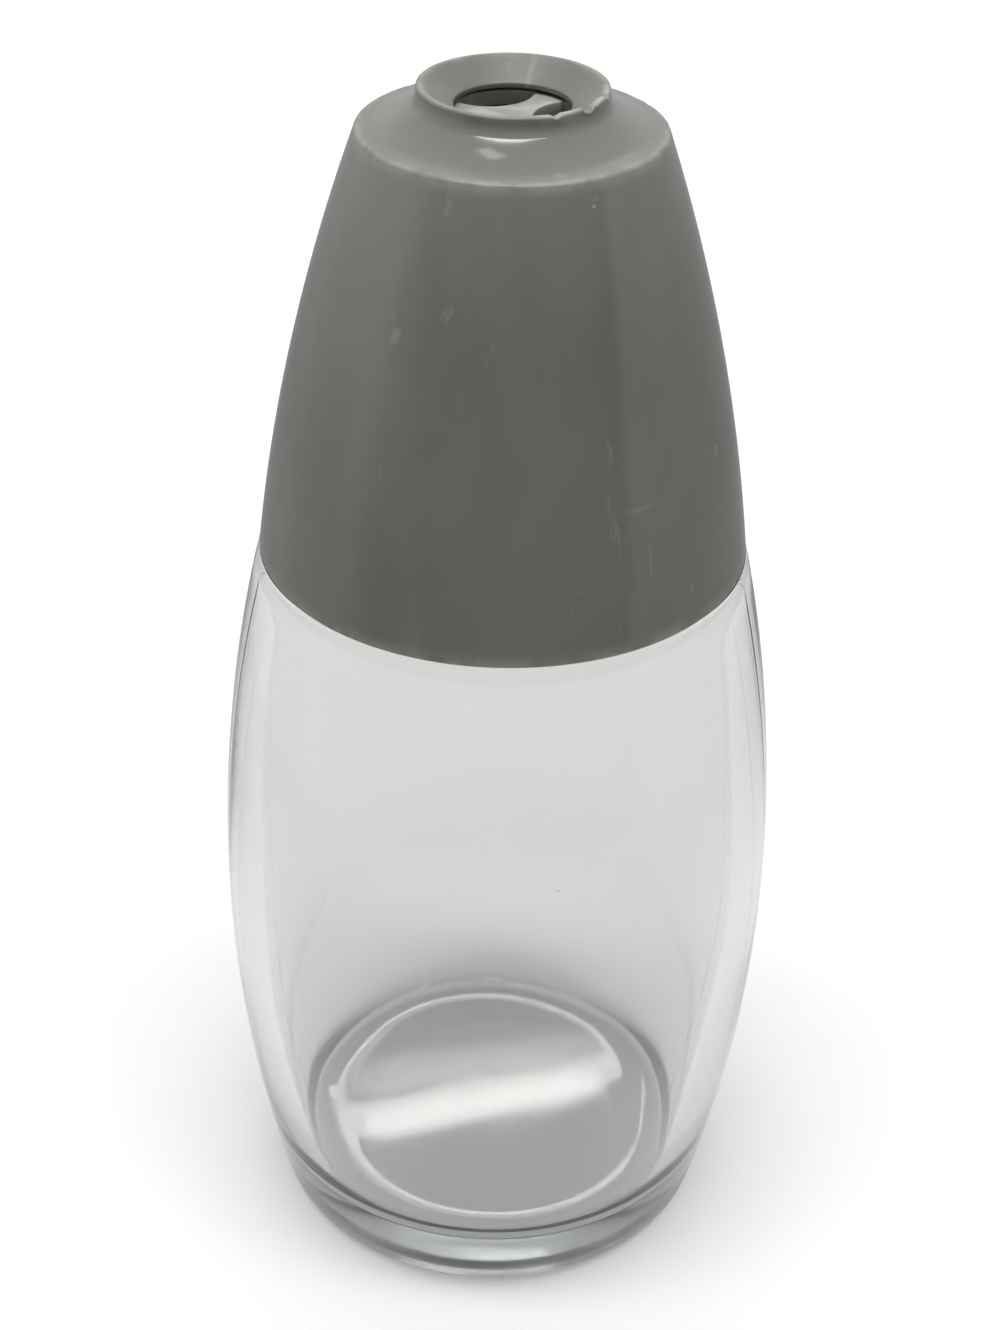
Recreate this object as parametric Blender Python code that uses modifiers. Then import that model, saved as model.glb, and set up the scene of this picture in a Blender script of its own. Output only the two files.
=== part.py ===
"""Table toothpick dispenser: a barrel-shaped glass jar, a tall conical screw cap, and the disc
with three openings that sits under the hole in the cap's crown and lets the picks out singly.

The jar stands on the plane Z = 0 with the turning axis on Z. Lengths are in metres.
"""

import math

import bmesh
import bpy

MM = 0.001

# Glass body
BODY_HEIGHT = 68.5 * MM             # table to the flat shoulder under the cap
BELLY_HEIGHT = 34.5 * MM            # table to the widest point
BELLY_SWELL = 4.1 * MM              # how far the belly stands out past the top of the body
GLASS_WALL = 3.0 * MM
BASE_THICKNESS = 4.8 * MM
HEEL_ROUND = 1.3 * MM               # outer edge round the base
SHOULDER_ROUND = 0.4 * MM           # outer edge under the cap
FLOOR_ROUND = 3.5 * MM              # corner round the inside floor
BEARING_WIDTH = 3.2 * MM            # flat ring that the jar stands on
PUNT_DEPTH = 0.2 * MM               # hollow under the base, inside that ring
PUNT_SLOPE = 3.0 * MM               # width of the slope from the ring to the hollow

# Glass neck
NECK_RADIUS = 16.2 * MM             # outside, between the threads
NECK_WALL = 2.4 * MM
NECK_FOOT = 1.0 * MM                # plain band below the thread
NECK_LAND = 1.0 * MM                # plain band above the thread
SHOULDER_WALL = 1.8 * MM            # glass under the flat shoulder
CEILING_ROUND = 2.7 * MM            # inside corner under the shoulder
MOUTH_ROUND = 1.2 * MM              # inside edge where the neck begins
LIP_ROUND = 0.8 * MM

# Screw thread, right-handed, the same on both pieces
THREAD_PITCH = 4.0 * MM
JAR_THREAD_TURNS = 1.25
CAP_THREAD_TURNS = 1.0
THREAD_FADE_TURNS = 0.1             # length of the run-out at each end
THREAD_RADIAL_CLEARANCE = 0.35 * MM

# Gap between neighbouring pieces
GAP = 0.3 * MM

# Cap, measured up from the edge of its skirt
SKIRT_WALL = 2.8 * MM               # thickness at the open edge
SKIRT_CHAMFER = 0.5 * MM            # lead-in inside the open edge
CAP_RISE = 35.6 * MM                # skirt edge to the crown's outer edge
CAP_BULGE = 1.04 * MM               # how far the side bows out from a straight cone
CAP_WALL = 1.5 * MM
CROWN_WIDTH = 4.65 * MM             # crown's outer edge to the collar
CROWN_RISE = 2.2 * MM               # crown's outer edge up to the foot of the collar
CROWN_DIP = 0.36 * MM               # how far the crown is hollowed below a straight slope
CROWN_EDGE_ROUND = 0.35 * MM
COLLAR_RISE = 1.1 * MM              # foot of the collar to its rim
COLLAR_WALL = 0.9 * MM              # between the disc's seat and the collar's outside
COLLAR_FILLET = 1.0 * MM            # hollow corner at the foot of the collar
RIM_WIDTH = 0.45 * MM
RIM_ROUND = 0.2 * MM
DISH_DEPTH = 1.5 * MM               # rim to the edge of the hole
HOLE_RADIUS = 4.5 * MM
HOLE_LAND = 0.4 * MM                # straight wall of the hole

# Disc under the hole, and the snap ring that holds it in
DISC_LAP = 1.65 * MM                # how far the disc reaches past the hole
DISC_THICKNESS = 1.2 * MM
HUB_RADIUS = 1.6 * MM               # solid middle between the openings
OPENING_COUNT = 3
OPENING_RADIUS = 3.6 * MM           # curved inner side of each opening
OPENING_LAP = 0.4 * MM              # how far the openings reach past the hole
OPENING_ANGLE = math.radians(112.0)
SNAP_GRIP = 0.5 * MM                # how far the snap ring stands in from the seat's wall
SNAP_HEIGHT = 0.65 * MM

# Fineness of the round surfaces
SEGMENTS = 48
THREAD_STEPS = 36                   # points in one turn of thread
BODY_STEPS = 10
CAP_STEPS = 8
CROWN_STEPS = 5
CORNER_STEP = math.radians(30.0)    # arc taken by one facet of a rounded corner
OPENING_SEGMENTS = 40
FADED_SIZE = 0.2                    # thread's size at the very end of its run-out
ARC_SHARE = 0.98                    # most of a short side that the arcs at its two ends take up
CUT_MARGIN = 1.0 * MM               # how far a cutter passes the faces that it cuts
WELD = 0.001 * MM


def bead_radius():
    """Radius of the round thread for which both flanks clear the other thread by the gap."""
    linear = 4 * GAP - 2 * THREAD_RADIAL_CLEARANCE
    constant = GAP ** 2 - THREAD_RADIAL_CLEARANCE ** 2 - (THREAD_PITCH / 2) ** 2
    return (-linear + math.sqrt(linear ** 2 - 12 * constant)) / 6


# Sizes that follow from the ones above
BEAD = bead_radius()
NECK_BORE = NECK_RADIUS - NECK_WALL
THREAD_BASE = BODY_HEIGHT + NECK_FOOT + BEAD
NECK_TOP = THREAD_BASE + JAR_THREAD_TURNS * THREAD_PITCH + BEAD + NECK_LAND
CAP_BORE = NECK_RADIUS + BEAD + THREAD_RADIAL_CLEARANCE
SKIRT_RADIUS = CAP_BORE + SKIRT_WALL
SEAT_HEIGHT = BODY_HEIGHT + GAP
BODY_TOP_RADIUS = SKIRT_RADIUS
BELLY_RADIUS = BODY_TOP_RADIUS + BELLY_SWELL
BELLY_CURVE = ((BODY_HEIGHT - BELLY_HEIGHT) ** 2 + BELLY_SWELL ** 2) / (2 * BELLY_SWELL)
DISC_RADIUS = HOLE_RADIUS + DISC_LAP
SEAT_RADIUS = DISC_RADIUS + GAP
COLLAR_RADIUS = SEAT_RADIUS + COLLAR_WALL
CROWN_RADIUS = COLLAR_RADIUS + CROWN_WIDTH
COLLAR_FOOT = CAP_RISE + CROWN_RISE
CAP_HEIGHT = COLLAR_FOOT + COLLAR_RISE
SEAT_CEILING = CAP_HEIGHT - DISH_DEPTH - HOLE_LAND
DISC_BOTTOM = SEAT_CEILING - GAP - DISC_THICKNESS
SNAP_TOP = DISC_BOTTOM - GAP
SNAP_RADIUS = SEAT_RADIUS - SNAP_GRIP
SNAP_BOTTOM = SNAP_TOP - SNAP_HEIGHT


def clear_scene():
    """Remove every object, then make the two collections."""
    for item in list(bpy.data.objects):
        bpy.data.objects.remove(item, do_unlink=True)
    collections = []
    for name in ("toothpick_dispenser", "cutters"):
        collection = bpy.data.collections.new(name)
        bpy.context.scene.collection.children.link(collection)
        collections.append(collection)
    return collections


def make_material(name, colour, roughness, transmission=0.0):
    """Principled material of one colour."""
    material = bpy.data.materials.new(name)
    material.use_nodes = True
    shader = material.node_tree.nodes["Principled BSDF"]
    shader.inputs["Base Color"].default_value = (*colour, 1.0)
    shader.inputs["Roughness"].default_value = roughness
    shader.inputs["Metallic"].default_value = 0.0
    shader.inputs["Transmission Weight"].default_value = transmission
    return material


def barrel(low, high, inset, steps):
    """Points up the barrel's side from height low to high, inset from the outer glass."""
    curve = BELLY_CURVE - inset
    middle = BELLY_RADIUS - BELLY_CURVE
    first = math.asin((low - BELLY_HEIGHT) / curve)
    last = math.asin((high - BELLY_HEIGHT) / curve)
    angles = [first + (last - first) * step / steps for step in range(steps + 1)]
    return [(middle + curve * math.cos(a), BELLY_HEIGHT + curve * math.sin(a)) for a in angles]


def cap_side(low, high, inset, steps):
    """Points up the cap's bowed side from height low to high, inset from the outside."""
    across = CROWN_RADIUS - SKIRT_RADIUS
    chord = math.hypot(across, CAP_RISE)
    curve = ((chord / 2) ** 2 + CAP_BULGE ** 2) / (2 * CAP_BULGE)
    back = curve - CAP_BULGE
    middle = (SKIRT_RADIUS + CROWN_RADIUS) / 2 - back * CAP_RISE / chord
    centre = CAP_RISE / 2 + back * across / chord
    heights = [low + (high - low) * step / steps for step in range(steps + 1)]
    return [(middle + math.sqrt((curve - inset) ** 2 - (z - centre) ** 2), z) for z in heights]


def crown_dip():
    """Points along the hollow crown, from the collar's foot down to the outer edge."""
    chord = math.hypot(CROWN_WIDTH, CROWN_RISE)
    curve = ((chord / 2) ** 2 + CROWN_DIP ** 2) / (2 * CROWN_DIP)
    lean = math.atan2(CROWN_RISE, CROWN_WIDTH)
    half = math.asin(chord / 2 / curve)
    centre_r = CROWN_RADIUS + curve * math.sin(lean - half)
    centre_z = CAP_RISE + curve * math.cos(lean - half)
    slopes = [lean + half - 2 * half * step / CROWN_STEPS for step in range(CROWN_STEPS + 1)]
    return [(centre_r - curve * math.sin(a), centre_z - curve * math.cos(a)) for a in slopes]


def corner_turn(before, corner, after):
    """Angle by which an outline turns at a corner, left turns positive."""
    arriving = math.atan2(corner[1] - before[1], corner[0] - before[0])
    leaving = math.atan2(after[1] - corner[1], after[0] - corner[0])
    return (leaving - arriving + math.pi) % (2 * math.pi) - math.pi


def corner_arc(before, corner, turn, reach):
    """Arc that replaces a corner, from reach before it to reach after it."""
    arriving = math.atan2(corner[1] - before[1], corner[0] - before[0])
    radius = reach / math.tan(abs(turn) / 2)
    side = math.copysign(1.0, turn)
    start = (corner[0] - reach * math.cos(arriving), corner[1] - reach * math.sin(arriving))
    centre = (start[0] - side * radius * math.sin(arriving),
              start[1] + side * radius * math.cos(arriving))
    steps = max(2, math.ceil(abs(turn) / CORNER_STEP))
    headings = [arriving + turn * step / steps for step in range(steps + 1)]
    return [(centre[0] + side * radius * math.sin(a), centre[1] - side * radius * math.cos(a))
            for a in headings]


def rounded(outline, rounds):
    """Outline whose corners named by number become arcs of the given radii.

    Two arcs that share a side shrink together where the side is too short for both.
    """
    count = len(outline)
    turns = {}
    reaches = [0.0] * count
    for number, radius in rounds.items():
        before, after = outline[number - 1], outline[(number + 1) % count]
        turns[number] = corner_turn(before, outline[number], after)
        reaches[number] = radius * math.tan(abs(turns[number]) / 2)
    shares = [1.0] * count
    for number in range(count):
        after = (number + 1) % count
        both = reaches[number] + reaches[after]
        side = math.dist(outline[number], outline[after])
        if both > side:
            shares[number] = min(shares[number], ARC_SHARE * side / both)
            shares[after] = min(shares[after], ARC_SHARE * side / both)
    points = []
    for number, corner in enumerate(outline):
        if number in turns:
            reach = reaches[number] * shares[number]
            points += corner_arc(outline[number - 1], corner, turns[number], reach)
        else:
            points.append(corner)
    return points


def turned_piece(name, outline, closed, collection, material):
    """Outline at +X, running down its outer side, turned once round the Z axis."""
    shape = bmesh.new()
    verts = [shape.verts.new((r, 0.0, z)) for r, z in outline]
    for first, second in zip(verts, verts[1:]):
        shape.edges.new((first, second))
    if closed:
        shape.edges.new((verts[-1], verts[0]))
    mesh = bpy.data.meshes.new(name)
    shape.to_mesh(mesh)
    shape.free()
    mesh.materials.append(material)
    piece = bpy.data.objects.new(name, mesh)
    collection.objects.link(piece)
    turning = piece.modifiers.new("Turn", "SCREW")
    turning.axis = "Z"
    turning.steps = SEGMENTS
    turning.render_steps = SEGMENTS
    turning.use_merge_vertices = True
    turning.merge_threshold = WELD
    turning.use_smooth_shade = True
    return piece


def thread_ridge(name, radius, first_turn, last_turn, base, collection):
    """Round helical ridge that fades out at both ends, as a mesh to be joined to a piece."""
    steps = math.ceil((last_turn - first_turn) * THREAD_STEPS)
    curve = bpy.data.curves.new(name, "CURVE")
    curve.dimensions = "3D"
    curve.bevel_depth = BEAD
    curve.bevel_resolution = 2
    curve.use_fill_caps = True
    spline = curve.splines.new("POLY")
    spline.points.add(steps)
    for step, point in enumerate(spline.points):
        turn = first_turn + (last_turn - first_turn) * step / steps
        angle = 2 * math.pi * turn
        height = base + THREAD_PITCH * turn
        point.co = (radius * math.cos(angle), radius * math.sin(angle), height, 1.0)
        run = min(turn - first_turn, last_turn - turn) / THREAD_FADE_TURNS
        point.radius = min(1.0, FADED_SIZE + (1.0 - FADED_SIZE) * run)
    tube = bpy.data.objects.new(name + "_path", curve)
    collection.objects.link(tube)
    evaluated = tube.evaluated_get(bpy.context.evaluated_depsgraph_get())
    mesh = bpy.data.meshes.new_from_object(evaluated)
    shape = bmesh.new()
    shape.from_mesh(mesh)
    bmesh.ops.remove_doubles(shape, verts=shape.verts, dist=WELD)
    bmesh.ops.recalc_face_normals(shape, faces=shape.faces)
    shape.to_mesh(mesh)
    shape.free()
    ridge = bpy.data.objects.new(name, mesh)
    ridge.matrix_world = tube.matrix_world
    collection.objects.link(ridge)
    bpy.data.objects.remove(tube, do_unlink=True)
    hide_tool(ridge)
    return ridge


def hide_tool(tool):
    """Show a cutter or a joined ridge as wire only."""
    tool.hide_render = True
    tool.display_type = "WIRE"


def combine(piece, tool, operation):
    """Cut a tool out of a piece, join it on, or keep what they share."""
    boolean = piece.modifiers.new(tool.name, "BOOLEAN")
    boolean.operation = operation
    boolean.solver = "EXACT"
    boolean.object = tool


def cylinder(name, radius, low, high, segments, collection):
    """Upright cylinder round the local Z axis."""
    shape = bmesh.new()
    bmesh.ops.create_cone(shape, cap_ends=True, segments=segments, radius1=radius,
                          radius2=radius, depth=high - low)
    bmesh.ops.translate(shape, verts=shape.verts, vec=(0.0, 0.0, (low + high) / 2))
    mesh = bpy.data.meshes.new(name)
    shape.to_mesh(mesh)
    shape.free()
    piece = bpy.data.objects.new(name, mesh)
    collection.objects.link(piece)
    return piece


def jar_outline():
    """Half section of the jar: inside floor, up the inside, over the lip, down the outside."""
    ceiling = BODY_HEIGHT - SHOULDER_WALL
    inside = barrel(BASE_THICKNESS, ceiling, GLASS_WALL, BODY_STEPS)
    outside = barrel(0.0, BODY_HEIGHT, 0.0, BODY_STEPS)[::-1]
    ring_edge = outside[-1][0] - HEEL_ROUND - BEARING_WIDTH
    outline = [(0.0, BASE_THICKNESS)] + inside
    outline += [(NECK_BORE, ceiling), (NECK_BORE, NECK_TOP)]
    outline += [(NECK_RADIUS, NECK_TOP), (NECK_RADIUS, BODY_HEIGHT)] + outside
    outline += [(ring_edge, 0.0), (ring_edge - PUNT_SLOPE, PUNT_DEPTH), (0.0, PUNT_DEPTH)]
    mouth = len(inside) + 1
    shoulder = mouth + 4
    rounds = {1: FLOOR_ROUND, mouth - 1: CEILING_ROUND, mouth: MOUTH_ROUND,
              mouth + 1: LIP_ROUND, mouth + 2: LIP_ROUND, shoulder: SHOULDER_ROUND,
              shoulder + len(outside) - 1: HEEL_ROUND}
    return rounded(outline, rounds)


def build_jar(parts, cutters, material):
    """Glass jar with its threaded neck."""
    jar = turned_piece("glass_jar", jar_outline(), False, parts, material)
    ridge = thread_ridge("jar_thread", NECK_RADIUS, 0.0, JAR_THREAD_TURNS, THREAD_BASE, cutters)
    combine(jar, ridge, "UNION")
    return jar


def cap_outline():
    """Half section of the cap: rim, crown, down the outside, up the inside, hole and dish."""
    crown = crown_dip()
    outside = cap_side(0.0, CAP_RISE, 0.0, CAP_STEPS)[-2::-1]
    inside = cap_side(NECK_TOP + GAP - SEAT_HEIGHT, CAP_RISE - CAP_WALL, CAP_WALL, CAP_STEPS)
    outline = [(COLLAR_RADIUS, CAP_HEIGHT)] + crown + outside
    outline += [(CAP_BORE + SKIRT_CHAMFER, 0.0), (CAP_BORE, SKIRT_CHAMFER)]
    outline += [(CAP_BORE, inside[0][1])] + inside
    outline += [(SNAP_RADIUS, SNAP_BOTTOM), (SNAP_RADIUS, SNAP_TOP), (SEAT_RADIUS, SNAP_TOP)]
    outline += [(SEAT_RADIUS, SEAT_CEILING), (HOLE_RADIUS, SEAT_CEILING)]
    outline += [(HOLE_RADIUS, SEAT_CEILING + HOLE_LAND), (COLLAR_RADIUS - RIM_WIDTH, CAP_HEIGHT)]
    rounds = {0: RIM_ROUND, 1: COLLAR_FILLET, len(crown): CROWN_EDGE_ROUND,
              len(outline) - 1: RIM_ROUND}
    return rounded(outline, rounds)


def build_cap(axis, parts, cutters, material):
    """Conical cap with its inner thread, the dished collar and the disc's seat."""
    cap = turned_piece("screw_cap", cap_outline(), True, parts, material)
    first_turn = 0.5 + (GAP + SKIRT_CHAMFER - NECK_FOOT) / THREAD_PITCH
    base = THREAD_BASE - THREAD_PITCH / 2 - SEAT_HEIGHT
    ridge = thread_ridge("cap_thread", CAP_BORE, first_turn, first_turn + CAP_THREAD_TURNS,
                         base, cutters)
    cap.parent = axis
    ridge.parent = axis
    combine(cap, ridge, "UNION")
    return cap


def build_disc(axis, parts, cutters, material):
    """Flat disc with lens-shaped openings set round its hub."""
    disc = cylinder("metering_disc", DISC_RADIUS, 0.0, DISC_THICKNESS, SEGMENTS, parts)
    disc.data.materials.append(material)
    disc.data.shade_smooth()
    disc.data.set_sharp_from_angle(angle=math.radians(30))
    disc.parent = axis
    disc.location.z = DISC_BOTTOM
    limit = cylinder("opening_limit", HOLE_RADIUS + OPENING_LAP, -2 * CUT_MARGIN,
                     DISC_THICKNESS + 2 * CUT_MARGIN, SEGMENTS, cutters)
    limit.parent = disc
    hide_tool(limit)
    reach = HUB_RADIUS + OPENING_RADIUS
    for number in range(OPENING_COUNT):
        angle = OPENING_ANGLE + 2 * math.pi * number / OPENING_COUNT
        cutter = cylinder("opening_%d" % (number + 1), OPENING_RADIUS, -CUT_MARGIN,
                          DISC_THICKNESS + CUT_MARGIN, OPENING_SEGMENTS, cutters)
        cutter.parent = disc
        cutter.location = (reach * math.cos(angle), reach * math.sin(angle), 0.0)
        hide_tool(cutter)
        combine(cutter, limit, "INTERSECT")
        combine(disc, cutter, "DIFFERENCE")
    return disc


def main():
    parts, cutters = clear_scene()
    glass = make_material("clear_glass", (0.93, 0.94, 0.93), 0.03, transmission=1.0)
    cap_plastic = make_material("grey_cap_plastic", (0.14, 0.15, 0.135), 0.25)
    disc_plastic = make_material("grey_disc_plastic", (0.2, 0.21, 0.195), 0.35)
    axis = bpy.data.objects.new("cap_axis", None)
    axis.location.z = SEAT_HEIGHT
    parts.objects.link(axis)
    build_jar(parts, cutters, glass)
    build_cap(axis, parts, cutters, cap_plastic)
    build_disc(axis, parts, cutters, disc_plastic)
    bpy.context.view_layer.update()


main()
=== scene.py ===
"""Looks of a table toothpick dispenser: clear glass jar, grey screw cap, metering disc and studio.

Sizes are in metres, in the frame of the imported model, with the turning axis of jar and cap on Z.
"""

import math

import bmesh
import bpy
from bpy.props import FloatProperty, FloatVectorProperty, IntProperty, PointerProperty
from mathutils import Matrix, Vector, noise


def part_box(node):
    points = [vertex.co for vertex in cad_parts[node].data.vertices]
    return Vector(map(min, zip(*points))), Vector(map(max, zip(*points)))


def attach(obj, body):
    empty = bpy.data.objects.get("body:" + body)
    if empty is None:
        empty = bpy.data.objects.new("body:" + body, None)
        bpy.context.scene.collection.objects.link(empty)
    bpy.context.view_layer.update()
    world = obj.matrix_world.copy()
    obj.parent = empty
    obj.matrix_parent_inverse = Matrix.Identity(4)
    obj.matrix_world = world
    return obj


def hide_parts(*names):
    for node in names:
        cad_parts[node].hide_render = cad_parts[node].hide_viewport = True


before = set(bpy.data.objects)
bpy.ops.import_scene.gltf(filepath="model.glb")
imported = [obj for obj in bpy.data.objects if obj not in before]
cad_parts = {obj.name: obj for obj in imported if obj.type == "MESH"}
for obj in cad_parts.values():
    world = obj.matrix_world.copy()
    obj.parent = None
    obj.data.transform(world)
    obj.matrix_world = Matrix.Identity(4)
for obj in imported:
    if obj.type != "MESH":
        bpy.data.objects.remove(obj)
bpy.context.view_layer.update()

bl_info = {
    "name": "Toothpick dispenser looks",
    "version": (1, 0, 0),
    "blender": (4, 5, 0),
    "location": "3D View > Sidebar > Dispenser",
    "description": "Glass jar, screw cap, metering disc and studio round the packed model",
    "category": "Object",
}

JAR_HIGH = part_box("glass_jar")[1]
CAP_LOW, CAP_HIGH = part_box("screw_cap")
DISC_LOW, DISC_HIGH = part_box("metering_disc")

MM = 0.001
FULL_TURN = 2 * math.pi
WELD = 0.002 * MM

# Fineness: steps along arcs, and the longest run left undivided
INSIDE_STEPS = 44
OUTSIDE_STEPS = 52
JAR_RUN = 1.6 * MM
CROWN_STEPS = 9
SIDE_STEPS = 36
HOLLOW_STEPS = 24
CAP_RUN = 1.2 * MM
RIM_RUN = 0.35 * MM
THREAD_RUN = 0.2 * MM
RIM_DEPTH = 0.5 * MM                # how far below the collar's foot the rim's runs reach
SEAM_SECTOR = math.radians(3.0)     # finely divided to each side of a mould seam
SEAM_STEPS = 8
BETWEEN_SEAMS_STEPS = 84
CAP_SEGMENTS = 240
DISC_SEGMENTS = 160
OPENING_SEGMENTS = 96
SCREEN_SEGMENTS = 96

# Small shapes of the glass
FLOOR_CLEAR = 6.0 * MM              # arcs left whole beside the inside corners, for their rounds
CEILING_CLEAR = 3.4 * MM
RING_ROUND = 3.5 * MM               # edges of the slope inside the bearing ring
SEAM_WIDTH = 0.22 * MM
SEAM_START = 2.0 * MM               # height at which the seams begin
FLOOR_EDGE = 8.0 * MM               # reach of the uneven floor past the neck's bore
FLOOR_BAND = 0.5 * MM
OUTSIDE_WAVES = (0.15, 60.0)        # share of the waviness, and waves for each metre
FLOOR_WAVES = (0.03, 110.0)
INSIDE_WAVES = (1.0, 45.0)
SCUFF_TOP = 8.5 * MM                # scuffs fade out up to this height
SCUFF_FADE = 6.5 * MM
SCUFF_INNER = 12.0 * MM             # radius at which the scuffs under the base begin
SCUFF_WIDTH = 3.0 * MM

# Small shapes of the cap
EDGE_ROUND = 0.2 * MM               # outer edge of the skirt
CHAMFER = 0.5 * MM                  # lead-in inside that edge
HOLE_LOW_ROUND = 0.08 * MM
HOLE_HIGH_ROUND = 0.15 * MM
CHIPPED = (-72.0, 2.0, 10.0)        # first and last degree of the chips, and their soft edge
CHIPS = (7.0, 1.7, 0.0, 0.22)       # notches for each radian, place in the noise, and level
BITES = (23.0, 4.1, 0.0, -0.10)
NICKS = (16.0, 0.0, 9.3, -0.1)
BITE_SHARE = 0.9
CHIP_DOWN = 1.6                     # shares of the chip depth
CHIP_LIMIT = 1.2
CHIP_OUT = 0.35
CHIP_REACH = 0.35 * MM
NICK_REACH = 0.4 * MM
NICK_IN = 0.10 * MM
NICK_DOWN = 0.08 * MM
FAINT = 0.02                        # below this share an edge is left alone

# Painted wear of the cap, a painted highlight on the crown's front edge, and painted shade inside
PAINTED = ("wear_and_highlight", "weld", "matt", "inside_shade")
# Paler band along the crown's edge: real wear, made stronger on the front as a painted highlight
CROWN_WEAR_AND_HIGHLIGHT, CROWN_WEAR_WIDTH = 0.42, 0.32 * MM
RIM_WEAR, RIM_WEAR_WIDTH = 0.3, 0.36 * MM
SKIRT_WEAR, SKIRT_WEAR_WIDTH = 0.25, 0.3 * MM
RUBBED = (-80.0, 8.0, 12.0)         # first and last degree of the rubbed rim, and its soft edge
RUBBED_WEAR = 0.55
WELD_LINE = math.radians(76.0)      # direction of the line in the dish where two flows met
WELD_LINE_WIDTH = 0.22 * MM
HANDLED_FROM = 10.2 * MM            # radius at which the crown turns matt
HANDLED_OVER = 0.8 * MM
HANDLED_MATT = 0.7
# Strength of the painted shade that darkens the inside of the cap
INSIDE_SHADE_LEVEL = 0.9

# Screen that the gloss mirrors: turns in radians from the front, and heights
FRONT_FALL = (-0.9, 0.6)
LEFT_EDGE = (0.75, 1.25)
RIGHT_EDGE = (0.97, 1.10)
BACK_EDGE = (1.9, 2.6)
SCREEN_RISE = (0.03, 0.16)
SCREEN_LEVELS = (0.55, 1.4)         # light at the foot and at the top
SCREEN_FADE = 0.10                  # height above which it turns clear
SHADE_START = 0.03                  # distance at which the floor starts to dim in reflections
FRONT_SHARE = 2.2                   # front light at its left end
UNEVEN = 0.25                       # how far the screen's edges wander

# Lamps
LOOK_AT = (0.0, 0.0, 0.06)
FLOOR_MIDDLE = (0.0, 0.0, 0.0)
PANEL_SHARE = 0.45                  # power of the back panel beside the strip's


def length(name, default, description):
    """A size in metres."""
    return FloatProperty(name=name, description=description, default=default,
                         unit="LENGTH", precision=5)


def number(name, default, description, **options):
    """A plain number, or one with a unit or subtype among its options."""
    return FloatProperty(name=name, description=description, default=default, **options)


def colour(name, default, description):
    """A linear colour."""
    return FloatVectorProperty(name=name, description=description, default=default,
                               subtype="COLOR", size=3, min=0.0, max=1.0)


class ThreadSettings(bpy.types.PropertyGroup):
    """Right-handed round thread on the neck and in the cap."""

    pitch: length("Pitch", 4.0 * MM, "Rise in one turn")
    bead: length("Bead", 1.079 * MM, "Radius of the round ridge")
    foot: length("Foot", 70.58 * MM, "Height at which the neck's ridge begins")
    jar_turns: number("Turns on the neck", 1.25, "Length of the neck's ridge")
    cap_start: number("Start in the cap", 0.45, "Turn at which the cap's ridge begins")
    cap_turns: number("Turns in the cap", 1.0, "Length of the cap's ridge")
    fade: number("Run-out", 0.1, "Turns over which a ridge fades at each end")


class JarSettings(bpy.types.PropertyGroup):
    """Glass jar."""

    body_height: length("Body height", 68.5 * MM, "Table to the flat shoulder")
    belly_height: length("Belly height", 34.5 * MM, "Table to the widest point")
    belly_radius: length("Belly radius", JAR_HIGH.x, "Radius at the widest point")
    belly_swell: length("Belly swell", 4.1 * MM, "How far the belly stands out past the shoulder")
    wall: length("Wall", 3.0 * MM, "Thickness of the glass")
    base: length("Base", 4.8 * MM, "Thickness of the glass under the inside floor")
    floor_round: length("Floor round", 3.5 * MM, "Corner round the inside floor")
    heel_round: length("Heel round", 1.3 * MM, "Outer edge round the base")
    bearing: length("Bearing ring", 3.2 * MM, "Width of the flat ring that the jar stands on")
    punt: length("Punt", 0.2 * MM, "Depth of the hollow under the base")
    punt_slope: length("Punt slope", 3.0 * MM, "Width of the slope into the hollow")
    shoulder: length("Shoulder", 1.8 * MM, "Glass under the flat shoulder")
    shoulder_round: length("Shoulder round", 0.4 * MM, "Outer edge under the cap")
    ceiling_round: length("Ceiling round", 2.7 * MM, "Inside corner under the shoulder")
    neck_radius: length("Neck radius", 16.2 * MM, "Outside of the neck between threads")
    neck_bore: length("Neck bore", 13.8 * MM, "Inside of the neck")
    neck_top: length("Neck top", JAR_HIGH.z, "Height of the lip")
    mouth_round: length("Mouth round", 1.2 * MM, "Inside edge where the neck begins")
    lip_round: length("Lip round", 0.8 * MM, "Edges of the lip")
    waviness: length("Waviness", 0.10 * MM, "Unevenness of the moulded inside")
    seam: length("Mould seam", 0.05 * MM, "Height of the two seams up the sides")
    scuff: number("Scuffs", 0.22, "Roughness of the worn edge that the jar stands on")
    # Painted shade: a colour a little below white that greys all the glass, for the shade seen
    # through it
    film: colour("Film", (0.89, 0.89, 0.88), "Clearness of the handled surface")
    tint: colour("Tint", (0.64, 0.66, 0.645), "Colour that thick glass takes on")
    density: number("Tint density", 68.0, "Strength of the tint for each metre of glass")


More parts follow.
